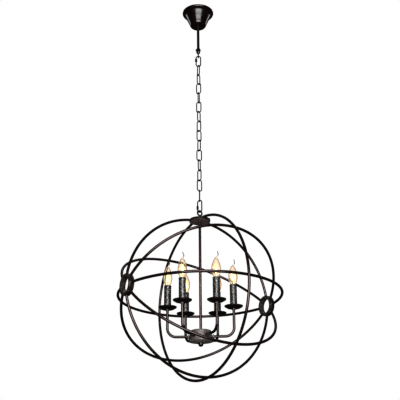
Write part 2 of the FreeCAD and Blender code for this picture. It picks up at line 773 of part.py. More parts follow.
def make_hub_cup():
    """Flared cup that carries the arms, and the domed cover under it."""
    wall = size("hub_cup_wall")
    top_radius, foot_radius = size("hub_cup_top_radius"), size("hub_cup_foot_radius")
    ease = size("rod_radius")
    bore = size("rod_radius") + size("hole_gap")
    cup = turned_body("hub_cup", [
        (bore, cup_top), (top_radius - ease, cup_top),
        (top_radius - ease * 0.3, cup_top - ease * 0.25), (top_radius, cup_top - ease),
        (foot_radius, cup_foot), (foot_radius - wall, cup_foot),
        (top_radius - wall, cup_top - ease - wall * 0.4),
        (top_radius - ease * 0.3 - wall, cup_top - ease * 0.25 - wall),
        (top_radius - ease, cup_top - wall), (bore, cup_top - wall)])
    hole = cylinder("cup_arm_hole", size("arm_tube_radius") + size("hole_gap"),
                    size("hub_cup_foot_radius"), x=size("hub_cup_top_radius") / 2,
                    axis=Y, turn=90)
    holes = [moved(f"cup_arm_hole_{i}", hole, z=arm_level, turn=yaw)
             for i, yaw in enumerate(arm_places())]
    node(cut("hub_cup_drilled", cup, *holes), "lower_hub_cup")

    rim = cup_foot - size("seat_gap")
    slope = (foot_radius - top_radius) / (size("hub_cup_height") - ease)
    lip_radius = foot_radius - wall - size("slide_gap") - slope * size("cover_lip")
    cover = turned_body("hub_cover", [
        (bore, cover_bottom), (foot_radius * 0.35, cover_bottom + size("cover_dome") * 0.08),
        (foot_radius * 0.6, cover_bottom + size("cover_dome") * 0.28),
        (foot_radius * 0.85, cover_bottom + size("cover_dome") * 0.62),
        (foot_radius, rim), (lip_radius, rim), (lip_radius, rim + size("cover_lip")),
        (lip_radius - wall, rim + size("cover_lip")), (lip_radius - wall, rim),
        (foot_radius * 0.6, cover_bottom + size("cover_dome") * 0.28 + wall),
        (foot_radius * 0.35, cover_bottom + size("cover_dome") * 0.08 + wall),
        (bore, cover_bottom + wall)])
    node(cover, "lower_hub_cover")


def make_finial():
    """Round-ended knob, screwed on the rod's end to hold the cover."""
    radius, length = size("finial_radius"), size("finial_length")
    top = cover_bottom - size("seat_gap")
    straight = length - radius
    barrel = cylinder("finial_barrel", radius, straight, z=top - straight)
    tip = doc.addObject("Part::Sphere", "finial_tip")
    tip.Angle2 = 0
    bind(tip, Radius=radius)
    place(tip, z=top - straight)
    bore = cylinder("finial_bore", size("rod_radius") + size("thread_gap"),
                    size("rod_in_finial") + PAST,
                    z=cover_bottom - size("rod_in_finial") - PAST / 2)
    body = fuse("finial_whole", barrel, tip)
    node(cut("finial_bored", body, bore), "finial")


def make_pipe(name, radius, root, top, at_level):
    """Lay a rod out along X from its root, round the bend, and up to its top."""
    circle, bend = size("candle_circle"), size("arm_bend")
    run = cylinder(name + "_run", radius, circle - bend - root, x=root, z=at_level,
                   axis=Y, turn=90)
    corner = torus(name + "_corner", bend, radius, 90, axis=X, turn=90)
    turned = moved(name + "_corner_down", corner, axis=Y, turn=90)
    rise = cylinder(name + "_rise", radius, top - at_level - bend, x=circle,
                    z=at_level + bend)
    placed = moved(name + "_corner_placed", turned, x=circle - bend, z=at_level + bend)
    return fuse(name, run, placed, rise)


def make_arms():
    """Six bent arms out of the hub cup, each held by a nut on both its sides."""
    tip = holder_foot + size("holder_grip") - size("seat_gap")
    solid = make_pipe("arm_solid", size("arm_tube_radius"), size("arm_root"), tip, arm_level)
    bore = make_pipe("arm_bore", size("arm_bore_radius"), size("arm_root") - PAST,
                     tip + PAST, arm_level)
    arm = cut("arm", solid, bore)
    lead = make_pipe("arm_lead", size("lead_radius"), size("block_flats") / 2 + size("seat_gap"),
                     holder_foot + size("holder_grip"), arm_level)
    thread = size("arm_tube_radius") + size("thread_gap")
    height = size("nut_height")
    slope = (size("hub_cup_foot_radius") - size("hub_cup_top_radius")) / size("hub_cup_height")
    half_nut = size("arm_nut_flats") * HEX_CORNER
    outside = (size("hub_cup_top_radius") + slope * (size("arm_drop") + half_nut)
               + size("seat_gap"))
    inner_wall = (size("hub_cup_top_radius") - size("hub_cup_wall")
                  + slope * (size("arm_drop") - size("rod_radius") - half_nut))
    inside = (inner_wall * inner_wall - half_nut * half_nut).root() - size("seat_gap")
    outer_nut = nut("arm_nut_outer", size("arm_nut_flats"), height, thread,
                    x=outside, axis=Y, turn=90)
    inner_nut = nut("arm_nut_inner", size("arm_nut_flats"), height, thread,
                    x=inside - height, axis=Y, turn=90)
    arms, leads, nuts = [], [], []
    for i, yaw in enumerate(arm_places()):
        arms.append(moved(f"arm_{i}", arm, turn=yaw))
        leads.append(moved(f"lead_{i}", lead, turn=yaw))
        nuts.append(moved(f"arm_nuts_{i}", outer_nut, inner_nut, z=arm_level, turn=yaw))
    node(moved("arms", *arms), "candle_arms")
    node(moved("leads", *leads), "arm_leads")
    node(moved("arm_nuts", *nuts), "arm_lock_nuts")
    block = hex_prism("block_blank", size("block_flats"), size("block_height"),
                      z=arm_level - size("block_height") / 2, turn=size("candle_yaw") + 180 / CANDLES)
    hole = cylinder("block_hole", size("rod_radius") + size("slide_gap"),
                    size("block_height") * 3, z=arm_level - size("block_height") * 1.5)
    node(cut("block", block, hole), "connector_block")


# ------------------------------------------------------------------- candles

def make_glass():
    """Blow the flame-shaped bulb: a neck, a full body and a drawn, bent tail."""
    radius, neck = size("glass_radius").value, size("glass_neck_radius").value
    height, tail = size("glass_height").value, size("tail_height").value
    root, lean = size("tail_radius").value, size("tail_lean").value
    straight = size("glass_in_cap").value + size("glass_neck_shown").value
    body = [(neck, 0), (neck, straight)]
    body += [(radius * wide, height * high) for wide, high in BULB]
    body.append((root, height))
    shell = turned_shell(body[::-1], size("glass_wall").value)
    bends = [(lean * side, tail * high, root * wide) for side, high, wide in TAIL]
    bends.append((0, tail, size("tail_tip_radius").value))
    rings = [Part.Wire(Part.makeCircle(r, Vector(x, 0, height + z), Z)) for x, z, r in bends]
    return computed("glass", shell.fuse(Part.makeLoft(rings, True)))


def make_filament():
    """Glass foot that carries four upright light rods between two plates."""
    foot, length = size("filament_foot"), size("filament_length")
    thick = size("filament_plate")
    stalk = cylinder("filament_stalk", size("filament_stalk_radius"), foot + thick / 2)
    plates = [cylinder(f"filament_plate_{name}", size("filament_plate_radius"), thick, z=level)
              for name, level in (("low", foot), ("high", foot + length))]
    rod = cylinder("filament_rod", size("filament_radius"), length + thick,
                   x=size("filament_circle"), z=foot + thick / 2)
    rods = [moved(f"filament_rod_{i}", rod, turn=360 / FILAMENTS * i) for i in range(FILAMENTS)]
    return fuse("filament", stalk, *plates, *rods)


def make_candle_parts():
    """List the pieces of one candle, upright about its own axis."""
    thread = size("arm_tube_radius") + size("thread_gap")
    wall, rise = size("pan_wall"), size("pan_rise")
    flat, rim = size("pan_flat_radius"), size("pan_radius")
    mid = (flat + rim) / 2
    pan = turned_body("pan", [
        (thread, pan_floor), (flat, pan_floor), (mid, pan_floor + rise * 0.24),
        (rim - wall, pan_floor + rise * 0.72), (rim, pan_floor + rise),
        (rim - wall * 1.4, pan_floor + rise), (mid, pan_floor + rise * 0.24 + wall),
        (flat, pan_floor + wall), (thread, pan_floor + wall)])
    nuts = [nut("pan_nut_lower", size("arm_nut_flats"), size("nut_height"), thread,
                z=pan_floor - size("nut_height")),
            nut("pan_nut_upper", size("arm_nut_flats"), size("nut_height"), thread,
                z=pan_floor + wall)]

    outer, skin = size("sleeve_radius"), size("sleeve_wall")
    bead, bead_height = size("sleeve_bead"), size("sleeve_bead_height")
    sleeve = turned_body("sleeve", [
        (outer - skin, sleeve_foot), (outer, sleeve_foot), (outer, sleeve_top - bead_height),
        (outer + bead, sleeve_top - bead_height * 0.7),
        (outer + bead, sleeve_top - bead_height * 0.3), (outer, sleeve_top),
        (outer - skin, sleeve_top)])

    barrel = outer - skin - size("slide_gap")
    floor = holder_foot + size("holder_base")
    holder = turned_body("holder", [
        (thread, holder_foot), (barrel * 0.75, holder_foot), (barrel, floor),
        (barrel, holder_top), (size("cap_radius") + size("hole_gap"), holder_top),
        (size("cap_radius") + size("hole_gap"), floor), (0, floor),
        (0, holder_foot + size("holder_grip") + size("seat_gap")),
        (thread, holder_foot + size("holder_grip") + size("seat_gap"))])

    radius, skin = size("cap_radius"), size("cap_wall")
    contact_foot = floor + size("seat_gap")
    cap_foot = contact_foot + size("contact_height")
    cap_top = cap_foot + size("cap_length")
    cap = turned_body("cap", [
        (0, contact_foot), (size("contact_radius"), contact_foot),
        (size("contact_radius"), cap_foot), (radius, cap_foot), (radius, cap_top),
        (radius - skin, cap_top), (radius - skin, cap_foot + skin), (0, cap_foot + skin)])

    glass = moved("glass_set", make_glass(), z=cap_top - size("glass_in_cap"))
    stalk_foot = cap_foot + skin + size("seat_gap")
    filament = moved("filament_set", make_filament(), z=stalk_foot)
    return (("drip_pans", [pan]), ("drip_pan_nuts", nuts), ("candle_sleeves", [sleeve]),
            ("lamp_holders", [holder]), ("bulb_caps", [cap]), ("bulb_glasses", [glass]),
            ("bulb_filaments", [filament]))


def make_candles():
    """Stand the six candles on their arms, with every bulb turned alike."""
    for label, parts in make_candle_parts():
        standing = []
        for i, yaw in enumerate(arm_places()):
            level = moved(f"{label}_level_{i}", *parts, turn=-yaw)
            out = moved(f"{label}_out_{i}", level, x=size("candle_circle"))
            standing.append(moved(f"{label}_{i}", out, turn=yaw))
        node(moved(f"{label}_all", *standing), label)


# --------------------------------------------------------------------- build

def check(objects):
    """Stop if any object failed or any piece has no sound shape."""
    for obj in objects:
        if {"Invalid", "Error"} & set(obj.State):
            raise RuntimeError(f"{obj.Name} did not compute: {obj.State}")
    for obj in nodes:
        if obj.Shape.isNull() or not obj.Shape.isValid():
            raise RuntimeError(f"{obj.Label} has no sound shape")


def write_parts():
    """Write each finished piece to its own file."""
    os.makedirs("parts", exist_ok=True)
    for obj in nodes:
        obj.Shape.exportStep(f"parts/{obj.Label}.step")


make_crossbar()
make_stem()
make_canopy()
make_stem_end()
make_chain()
make_eye_bolt()
make_top_hub()
make_hoops()
make_side_rings()
make_rod()
make_hub_cup()
make_finial()
make_arms()
make_candles()
doc.recompute()
check(doc.Objects)
write_parts()

print("pieces", len(nodes), "globe centre", round(globe.value, 2))
for obj in nodes:
    bounds = obj.Shape.BoundBox
    print(f"{obj.Label:24s} solids {len(obj.Shape.Solids):2d} volume {obj.Shape.Volume:10.1f}"
          f"  z {bounds.ZMin:9.2f} {bounds.ZMax:9.2f}")
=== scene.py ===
"""Orb chandelier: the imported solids, dressed with finishes, bulbs, candle sleeves and soft light.

Metres, in the frame of the solids: +Z up, origin on the ceiling at the middle of the canopy,
+X to the viewer's right and +Y away from the viewer.
"""

import json
import logging
import math
from dataclasses import dataclass
from enum import Enum
from typing import Iterable, Sequence

import bmesh
import bpy
from mathutils import Matrix, Vector, noise


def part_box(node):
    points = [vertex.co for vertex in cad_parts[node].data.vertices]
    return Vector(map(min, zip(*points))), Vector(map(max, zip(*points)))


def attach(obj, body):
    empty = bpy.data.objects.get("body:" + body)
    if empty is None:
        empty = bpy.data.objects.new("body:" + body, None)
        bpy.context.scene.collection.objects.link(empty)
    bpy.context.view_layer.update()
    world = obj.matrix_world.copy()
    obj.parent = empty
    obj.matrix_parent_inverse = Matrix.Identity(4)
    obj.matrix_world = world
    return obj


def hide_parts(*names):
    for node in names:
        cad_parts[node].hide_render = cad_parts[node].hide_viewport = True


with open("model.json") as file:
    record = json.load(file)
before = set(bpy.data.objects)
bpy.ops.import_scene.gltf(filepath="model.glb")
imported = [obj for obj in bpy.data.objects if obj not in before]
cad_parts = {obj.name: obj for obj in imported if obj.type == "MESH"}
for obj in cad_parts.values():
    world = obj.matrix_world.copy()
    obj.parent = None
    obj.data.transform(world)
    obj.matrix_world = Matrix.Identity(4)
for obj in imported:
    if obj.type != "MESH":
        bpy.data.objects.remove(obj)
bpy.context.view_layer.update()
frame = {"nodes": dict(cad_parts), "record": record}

LOG = logging.getLogger("orb_chandelier")

Colour = tuple[float, float, float]
Profile = Sequence[tuple[float, float]]

MM = 0.001
UNIT = (0.0, 1.0)
WHITE = (1.0, 1.0, 1.0)
CANDLE_CIRCLE = 0.1258  # from the centre rod to each candle
CANDLE_YAW = -1.9  # degrees, of the first candle
CANDLE_COUNT = 6
# nodes that differ from the slot they share: the top hub is black round its edge, with painted
# brown light from below on its underside, and the side rings are darker than the lower hub
OWN_FINISHES = {"top_hub_disc": "top_hub", "top_hub_screws": "top_hub",
                "side_ring_left": "side_ring", "side_ring_right": "side_ring"}


class Body(Enum):
    """Moving groups of the solids that a new piece can ride on."""

    GLOBE = "globe"


class Slot(Enum):
    """Finish slots of the record that new pieces are named for."""

    GLASS = "clear_glass"
    FILAMENT = "filament_yellow"
    SLEEVE = "rubbed_sleeve"


# ------------------------------------------------------------------ node graphs


class Graph:
    """Short ways to place and join the nodes of one tree."""

    def __init__(self, tree: bpy.types.NodeTree) -> None:
        """Take an empty tree.

        Args:
            tree: the node tree to fill.
        """
        self.tree = tree

    def node(self, kind: str, **settings: object) -> bpy.types.Node:
        """Place a node.

        Args:
            kind: the node's type name.
            settings: properties to set on it.

        Returns:
            The new node.
        """
        made = self.tree.nodes.new(kind)
        for name, value in settings.items():
            setattr(made, name, value)
        return made

    def join(self, source: bpy.types.NodeSocket, target: bpy.types.NodeSocket) -> None:
        """Link an output to an input."""
        self.tree.links.new(source, target)

    def math(self, operation: str, first: object, second: object = 0.0) -> bpy.types.NodeSocket:
        """Work out one value from two.

        Args:
            operation: the Math node's operation.
            first: a socket or a number.
            second: a socket or a number.

        Returns:
            The result's socket.
        """
        made = self.node("ShaderNodeMath", operation=operation)
        for socket, value in zip(made.inputs, (first, second)):
            if isinstance(value, bpy.types.NodeSocket):
                self.join(value, socket)
            else:
                socket.default_value = value
        return made.outputs[0]

    def span(self, value: bpy.types.NodeSocket, source: tuple[object, object],
             target: tuple[float, float]) -> bpy.types.NodeSocket:
        """Map a value from one span to another, smoothly and with its ends held.

        Args:
            value: the value's socket.
            source: the span it comes from, as sockets or numbers.
            target: the span it goes to.

        Returns:
            The mapped value's socket.
        """
        made = self.node("ShaderNodeMapRange", interpolation_type="SMOOTHSTEP")
        self.join(value, made.inputs["Value"])
        for name, end in (("From Min", source[0]), ("From Max", source[1]),
                          ("To Min", target[0]), ("To Max", target[1])):
            if isinstance(end, bpy.types.NodeSocket):
                self.join(end, made.inputs[name])
            else:
                made.inputs[name].default_value = end
        return made.outputs["Result"]

    def blend(self, share: bpy.types.NodeSocket, first: object,
              second: object) -> bpy.types.NodeSocket:
        """Mix two colours.

        Args:
            share: how much of the second colour shows, from 0 to 1.
            first: a colour or its socket.
            second: a colour or its socket.

        Returns:
            The mixed colour's socket.
        """
        made = self.node("ShaderNodeMix", data_type="RGBA")
        self.join(share, made.inputs[0])
        for socket, value in ((made.inputs[6], first), (made.inputs[7], second)):
            if isinstance(value, bpy.types.NodeSocket):
                self.join(value, socket)
            else:
                socket.default_value = (*value, 1.0)
        return made.outputs[2]

    def noise(self, place: bpy.types.NodeSocket, scale: object,
              detail: float) -> bpy.types.NodeSocket:
        """Place a noise texture.

        Args:
            place: where to read it.
            scale: its scale, a socket or a number.
            detail: how many finer layers it has.

        Returns:
            The noise's value socket.
        """
        made = self.node("ShaderNodeTexNoise")
        made.inputs["Detail"].default_value = detail
        self.join(place, made.inputs["Vector"])
        if isinstance(scale, bpy.types.NodeSocket):
            self.join(scale, made.inputs["Scale"])
        else:
            made.inputs["Scale"].default_value = scale
        return made.outputs["Fac"]


def new_group(name: str, inputs: dict[str, object],
              outputs: dict[str, str]) -> tuple[bpy.types.NodeTree, Graph, dict, dict]:
    """Start a shader node group with named inputs and outputs.

    Args:
        name: the group's name.
        inputs: each input's name with its default, a number, or None for a vector.
        outputs: each output's name with its socket type.

    Returns:
        The group, a graph on it, its input sockets and its output sockets by name.
    """
    tree = bpy.data.node_groups.new(name, "ShaderNodeTree")
    for label, value in inputs.items():
        kind = "NodeSocketVector" if value is None else "NodeSocketFloat"
        socket = tree.interface.new_socket(name=label, in_out="INPUT", socket_type=kind)
        if value is not None:
            socket.default_value = value
    for label, kind in outputs.items():
        tree.interface.new_socket(name=label, in_out="OUTPUT", socket_type=kind)
    graph = Graph(tree)
    inside = graph.node("NodeGroupInput")
    outside = graph.node("NodeGroupOutput")
    return (tree, graph, {s.name: s for s in inside.outputs if s.name},
            {s.name: s for s in outside.inputs if s.name})


class Effects:
    """The surface effects that several finishes share, each built once."""

    # how far a face looks up where its dust starts and is full, and how far down for its painted
    # light from below
    DUST_FACING = (0.35, 1.0)
    PAINTED_UNDERLIGHT_FACING = (-0.95, -0.75)
    # where the noise of each effect starts and is full
    DUST_CLOUD = (0.35, 0.7)
    WEAR_PATCH = (0.4, 0.65)
    PAINTED_UNDERLIGHT_CLOUD = (0.35, 0.65)
    DUST_SHARE = (0.35, 1.0)  # the dust on the clearest and on the dustiest patch
    OUTER_EDGE = (0.53, 0.62)  # pointiness where an edge starts to wear and is fully worn
    SPOT_EDGE = 0.08  # how softly a spot ends
    WAVE_SCALE = 0.12  # the slow waves' scale, as a share of the grain's
    MIDDLE = 0.5  # the noise's mean

    def __init__(self) -> None:
        """Build every effect's group."""
        self.mottle = self._mottle()
        self.speckle = self._speckle()
        self.relief = self._relief()
        self.dust = self._dust()
        self.wear = self._wear()
        # where light from below is painted on faces that look down
        self.painted_underlight_mask = self._painted_underlight_mask()

    def _mottle(self) -> bpy.types.NodeTree:
        """Build a slow cloudy drift from 0 to 1.

        Returns:
            The group.
        """
        tree, graph, given, put = new_group(
            "soft_mottle", {"Place": None, "Scale": 60.0, "Contrast": 0.2},
            {"Value": "NodeSocketFloat"})
        cloud = graph.noise(given["Place"], given["Scale"], detail=4.0)
        low = graph.math("SUBTRACT", self.MIDDLE, given["Contrast"])
        high = graph.math("ADD", self.MIDDLE, given["Contrast"])
        graph.join(graph.span(cloud, (low, high), UNIT), put["Value"])
        return tree

    def _speckle(self) -> bpy.types.NodeTree:
        """Build small separate spots, longer along Z.

        Returns:
            The group.
        """
        tree, graph, given, put = new_group(
            "rubbed_speckle", {"Place": None, "Scale": 900.0, "Cover": 0.5, "Stretch": 0.4},
            {"Mask": "NodeSocketFloat"})
        parts = graph.node("ShaderNodeSeparateXYZ")
        graph.join(given["Place"], parts.inputs[0])
        whole = graph.node("ShaderNodeCombineXYZ")
        graph.join(parts.outputs[0], whole.inputs[0])
        graph.join(parts.outputs[1], whole.inputs[1])
        graph.join(graph.math("MULTIPLY", parts.outputs[2], given["Stretch"]), whole.inputs[2])
        fine = graph.noise(whole.outputs[0], given["Scale"], detail=5.0)
        edge = graph.math("SUBTRACT", 1.0, given["Cover"])
        top = graph.math("ADD", edge, self.SPOT_EDGE)
        graph.join(graph.span(fine, (edge, top), UNIT), put["Mask"])
        return tree

    def _relief(self) -> bpy.types.NodeTree:
        """Build the height of a sprayed coat: fine grain on slow waves.

        Returns:
            The group.
        """
        tree, graph, given, put = new_group(
            "sprayed_relief", {"Place": None, "Scale": 700.0, "Waves": 0.5},
            {"Height": "NodeSocketFloat"})
        grain = graph.noise(given["Place"], given["Scale"], detail=3.0)
        slow = graph.noise(given["Place"], graph.math("MULTIPLY", given["Scale"], self.WAVE_SCALE),
                           detail=2.0)
        graph.join(graph.math("ADD", grain, graph.math("MULTIPLY", slow, given["Waves"])),
                   put["Height"])
        return tree

    def _dust(self) -> bpy.types.NodeTree:
        """Build the thin dust that settles on faces that look up.

        Returns:
            The group.
        """
        tree, graph, given, put = new_group(
            "settled_dust", {"Place": None, "Amount": 0.2}, {"Mask": "NodeSocketFloat"})
        parts = graph.node("ShaderNodeSeparateXYZ")
        graph.join(graph.node("ShaderNodeNewGeometry").outputs["Normal"], parts.inputs[0])
        facing = graph.span(parts.outputs[2], self.DUST_FACING, UNIT)
        cloud = graph.span(graph.noise(given["Place"], scale=140.0, detail=5.0), self.DUST_CLOUD,
                           self.DUST_SHARE)
        both = graph.math("MULTIPLY", facing, cloud)
        graph.join(graph.math("MULTIPLY", both, given["Amount"]), put["Mask"])
        return tree

    def _wear(self) -> bpy.types.NodeTree:
        """Build the rubbed line along outer edges.

        Returns:
            The group.
        """
        tree, graph, given, put = new_group(
            "edge_wear", {"Place": None, "Amount": 0.3}, {"Mask": "NodeSocketFloat"})
        sharp = graph.node("ShaderNodeNewGeometry").outputs["Pointiness"]
        edge = graph.span(sharp, self.OUTER_EDGE, UNIT)
        patchy = graph.span(graph.noise(given["Place"], scale=320.0, detail=4.0),
                            self.WEAR_PATCH, UNIT)
        both = graph.math("MULTIPLY", edge, patchy)
        graph.join(graph.math("MULTIPLY", both, given["Amount"]), put["Mask"])
        return tree

    def _painted_underlight_mask(self) -> bpy.types.NodeTree:
        """Build a mask of the faces that look down, a little cloudy, where light from below is
        painted.

        Returns:
            The group.
        """
        tree, graph, given, put = new_group(
            "painted_underlight_mask", {"Place": None, "Evenness": 0.6}, {"Mask": "NodeSocketFloat"})
        parts = graph.node("ShaderNodeSeparateXYZ")
        graph.join(graph.node("ShaderNodeNewGeometry").outputs["Normal"], parts.inputs[0])
        facing = graph.span(parts.outputs[2], self.PAINTED_UNDERLIGHT_FACING, (1.0, 0.0))
        cloud = graph.span(graph.noise(given["Place"], scale=90.0, detail=3.0), self.PAINTED_UNDERLIGHT_CLOUD,
                           UNIT)
        even = graph.math("MAXIMUM", cloud, given["Evenness"])
        graph.join(graph.math("MULTIPLY", facing, even), put["Mask"])
        return tree


class Coat:
    """One material under way: its graph and its Principled node."""

    def __init__(self, name: str) -> None:
        """Start a material.

        Args:
            name: the material's name.
        """
        self.material = bpy.data.materials.new(name)
        self.material.use_nodes = True
        tree = self.material.node_tree
        tree.nodes.clear()
        self.graph = Graph(tree)
        self.shader = self.graph.node("ShaderNodeBsdfPrincipled")
        output = self.graph.node("ShaderNodeOutputMaterial")
        self.graph.join(self.shader.outputs[0], output.inputs["Surface"])
        self.place = self.graph.node("ShaderNodeTexCoord").outputs["Object"]

    def set(self, **values: object) -> None:
        """Set plain values on the shader's own sockets, with _ for each space."""
        for name, value in values.items():
            self.shader.inputs[name.replace("_", " ")].default_value = value

    def feed(self, name: str, socket: bpy.types.NodeSocket) -> None:
        """Link a socket to one of the shader's inputs."""
        self.graph.join(socket, self.shader.inputs[name])

    def effect(self, tree: bpy.types.NodeTree, **values: float) -> bpy.types.NodeSocket:
        """Place a shared effect on this material's own coordinates.

        Args:
            tree: the effect's group.
            values: its inputs.

        Returns:
            The effect's only output.
        """
        made = self.graph.node("ShaderNodeGroup", node_tree=tree)
        self.graph.join(self.place, made.inputs["Place"])
        for name, value in values.items():
            made.inputs[name].default_value = value
        return made.outputs[0]

    def bump(self, height: bpy.types.NodeSocket, depth: float) -> None:
        """Raise the surface by a height.

        Args:
            height: the height's socket, from 0 to 1.
            depth: the height that 1 stands for, in metres.
        """
        made = self.graph.node("ShaderNodeBump")
        made.inputs["Strength"].default_value = 1.0
        made.inputs["Distance"].default_value = depth
        self.graph.join(height, made.inputs["Height"])
        self.feed("Normal", made.outputs[0])


# --------------------------------------------------------------------- finishes


@dataclass(frozen=True)
class Lacquer:
    """Sprayed metal whose colour and gloss drift a little, some with painted light from below on
    faces that look down.
    """

    name: str
    dark: Colour
    light: Colour
    metallic: float
    rough: tuple[float, float]
    coat: float
    relief: float
    dust: float
    wear: float
    coat_rough: float = 0.08
    shine: float = 0.5
    tint: Colour = WHITE
    # painted light from below: the colour of the faces that look down, or None where they look like
    # the rest
    painted_underlight: Colour | None = None
    bare: Colour = (0.32, 0.28, 0.25)
    dust_colour: Colour = (0.30, 0.28, 0.26)
    dust_rough: float = 0.5  # how much rougher full dust makes the surface
    mottle_scale: float = 45.0
    gloss_scale: float = 3.1  # the gloss's drift is finer than the colour's by this

    def build(self, effects: Effects) -> bpy.types.Material:
        """Build the material.

        Args:
            effects: the shared effect groups.

        Returns:
            The material.
        """
        coat = Coat(self.name)
        graph = coat.graph
        drift = coat.effect(effects.mottle, Scale=self.mottle_scale, Contrast=0.16)
        dust = coat.effect(effects.dust, Amount=self.dust)
        wear = coat.effect(effects.wear, Amount=self.wear)
        colour = graph.blend(drift, self.dark, self.light)
        colour = graph.blend(wear, colour, self.bare)
        # paint light from below onto the faces that look down
        if self.painted_underlight:
            colour = graph.blend(coat.effect(effects.painted_underlight_mask), colour, self.painted_underlight)
        coat.feed("Base Color", graph.blend(dust, colour, self.dust_colour))
        gloss = graph.span(coat.effect(effects.mottle, Scale=self.mottle_scale * self.gloss_scale,
                                       Contrast=0.2), UNIT, self.rough)
        coat.feed("Roughness", graph.math("ADD", gloss,
                                          graph.math("MULTIPLY", dust, self.dust_rough)))
        coat.bump(coat.effect(effects.relief, Scale=900.0, Waves=0.8), self.relief)
        coat.set(Metallic=self.metallic, Coat_Weight=self.coat, Coat_Roughness=self.coat_rough,
                 Specular_IOR_Level=self.shine, Specular_Tint=(*self.tint, 1.0))
        return coat.material


@dataclass(frozen=True)
class RubbedSleeve:
    """Candle sleeve: dark paint rubbed back to silver spots and streaks."""

    name: str = "rubbed_sleeve"
    dark: Colour = (0.003, 0.003, 0.003)
    silver: Colour = (0.34, 0.33, 0.32)
    brown: Colour = (0.05, 0.028, 0.015)
    rough: tuple[float, float] = (0.34, 0.5)  # of the paint and of the rubbed spots
    metal: float = 0.8  # how metallic a fully rubbed spot is
    least_grain: float = 0.35  # what a spot keeps between its grains
    least_patch: float = 0.45  # and in the patches that were rubbed least
    stain: float = 0.6
    spot_height: float = 0.6
    relief: float = 0.12 * MM

    def build(self, effects: Effects) -> bpy.types.Material:
        """Build the material.

        Args:
            effects: the shared effect groups.

        Returns:
            The material.
        """
        coat = Coat(self.name)
        graph = coat.graph
        spots = coat.effect(effects.speckle, Scale=520.0, Cover=0.52, Stretch=0.45)
        grains = coat.effect(effects.speckle, Scale=1500.0, Cover=0.5, Stretch=0.8)
        patches = coat.effect(effects.mottle, Scale=90.0, Contrast=0.12)
        rubbed = graph.math("MULTIPLY", spots, graph.math("ADD", grains, self.least_grain))
        rubbed = graph.math("MULTIPLY", rubbed, graph.math("ADD", patches, self.least_patch))
        rubbed = graph.math("MINIMUM", rubbed, 1.0)
        colour = graph.blend(rubbed, self.dark, self.silver)
        stain = graph.math("MULTIPLY", coat.effect(effects.speckle, Scale=800.0, Cover=0.40,
                                                   Stretch=0.6), self.stain)
        coat.feed("Base Color", graph.blend(stain, colour, self.brown))
        coat.feed("Roughness", graph.span(rubbed, UNIT, self.rough))
        coat.feed("Metallic", graph.math("MULTIPLY", rubbed, self.metal))
        coat.bump(graph.math("ADD", graph.math("MULTIPLY", spots, self.spot_height),
                             coat.effect(effects.relief, Scale=1100.0, Waves=1.0)), self.relief)
        coat.set(Coat_Weight=0.3, Coat_Roughness=0.2)
        return coat.material


@dataclass(frozen=True)
class BlownGlass:
    """Warm clear glass of a lit flame bulb, amber at its edges, with painted shade darkening its
    drawn tail.
    """

    name: str = "clear_glass"
    clear: Colour = (1.0, 0.94, 0.81)
    pale: Colour = (0.98, 0.90, 0.79)  # towards the top
    amber: Colour = (0.46, 0.23, 0.10)
    # painted shade that darkens the clear tail
    painted_tail_shade: Colour = (0.16, 0.13, 0.115)
    rim_glow: Colour = (0.06, 0.03, 0.015)
    core_glow: Colour = (1.0, 0.80, 0.48)
    glow: float = 0.10
    foot_glow: float = 0.3  # the glow's share at the glass's foot
    # shares of the glass's height: where its tail starts and is full, and where its glow is full
    # and ends
    tail_share: tuple[float, float] = (0.80, 0.87)
    glow_share: tuple[float, float] = (0.16, 0.72)
    # how far the glass turns away: where its edge starts and is full, and the same for its core
    edge_facing: tuple[float, float] = (0.18, 0.50)
    core_facing: tuple[float, float] = (0.02, 0.40)
    facing_blend: float = 0.35
    streaks: tuple[float, float] = (0.75, 1.0)
    relief: float = 0.004 * MM

    def build(self, effects: Effects) -> bpy.types.Material:
        """Build the material.

        Args:
            effects: the shared effect groups.

        Returns:
            The material.
        """
        coat = Coat(self.name)
        graph = coat.graph
        facing = graph.node("ShaderNodeLayerWeight")
        facing.inputs["Blend"].default_value = self.facing_blend
        streak = coat.effect(effects.mottle, Scale=70.0, Contrast=0.3)
        edge = graph.span(facing.outputs["Facing"], self.edge_facing, UNIT)
        edge = graph.math("MULTIPLY", edge, graph.span(streak, UNIT, self.streaks))
        height = graph.node("ShaderNodeSeparateXYZ")
        graph.join(graph.node("ShaderNodeTexCoord").outputs["Generated"], height.inputs[0])
        tail = graph.span(height.outputs[2], self.tail_share, UNIT)
        fade = graph.span(height.outputs[2], self.glow_share, (1.0, 0.0))
        body = graph.blend(edge, graph.blend(fade, self.pale, self.clear), self.amber)
        # the drawn tail is darkened by painted shade
        coat.feed("Base Color", graph.blend(tail, body, self.painted_tail_shade))
        rise = graph.span(height.outputs[2], (0.0, self.glow_share[0]), (self.foot_glow, 1.0))
        lit = graph.math("MULTIPLY", rise, fade)
        core = graph.span(facing.outputs["Facing"], self.core_facing, (1.0, 0.0))
        glow = graph.math("MULTIPLY", lit, core)
        warmth = graph.blend(glow, self.rim_glow, self.core_glow)
        coat.feed("Emission Color", graph.blend(tail, warmth, (0.0, 0.0, 0.0)))
        coat.bump(coat.effect(effects.relief, Scale=60.0, Waves=1.0), self.relief)
        coat.set(Transmission_Weight=1.0, Roughness=0.0, IOR=1.46, Emission_Strength=self.glow)
        return coat.material


